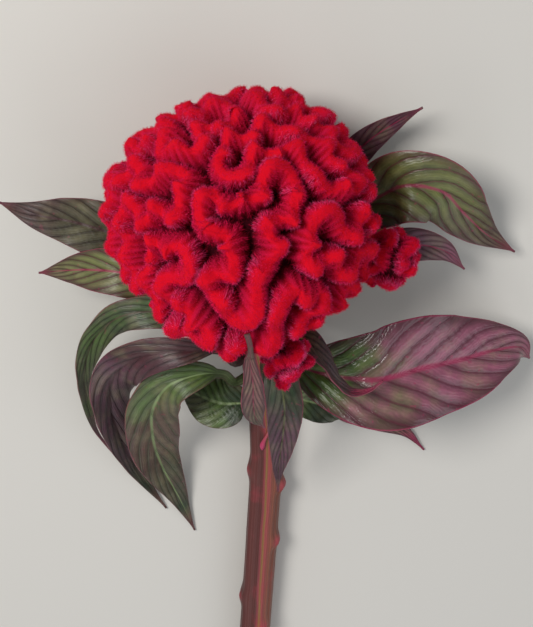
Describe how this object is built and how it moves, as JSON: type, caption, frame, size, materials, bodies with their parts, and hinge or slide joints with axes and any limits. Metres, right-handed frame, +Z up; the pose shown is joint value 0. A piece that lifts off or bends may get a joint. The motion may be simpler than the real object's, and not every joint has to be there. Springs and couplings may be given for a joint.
{
  "type": "cockscomb celosia flower stem",
  "caption": "Cut cockscomb celosia: a velvety folded crimson crest with two small crestlets on a ribbed stem with drooping green and wine-red leaves, lying down.",
  "frame": {"origin": "the middle of the flat spot under the crest, on the surface that the flower lies on", "axes": "+Z up from that surface, +Y from the stem's cut end towards the crest, +X to the right seen from above with the crest at the top"},
  "size_m": [0.2217, 0.3158, 0.1031],
  "materials": {
    "crest_velvet": "velvety crimson with pink hair tips",
    "stem_skin": "ribbed, red-brown and pink with a yellow-green stripe",
    "leaf_green": "glossy green with wine-red margins and veins",
    "leaf_wine": "glossy purple-brown with magenta margins and veins"
  },
  "bodies": {
    "root": {"crest": "crest_velvet", "side_crest": "crest_velvet", "front_crest": "crest_velvet", "stem": "stem_skin", "leaf_right_large": "leaf_wine", "leaf_under_left": "leaf_green", "leaf_under_right": "leaf_green", "bract_front": "leaf_wine", "leaf_front_down": "leaf_wine", "leaf_curl_right": "leaf_green", "leaf_left_upper": "leaf_green", "leaf_left_mid": "leaf_green", "leaf_left_arch": "leaf_green", "leaf_low_left_dark": "leaf_wine", "leaf_low_left_striped": "leaf_green", "leaf_back_right": "leaf_green", "leaf_right_mid": "leaf_wine", "leaf_top_right": "leaf_wine", "leaf_low_right_tip": "leaf_wine"}
  },
  "joints": []
}
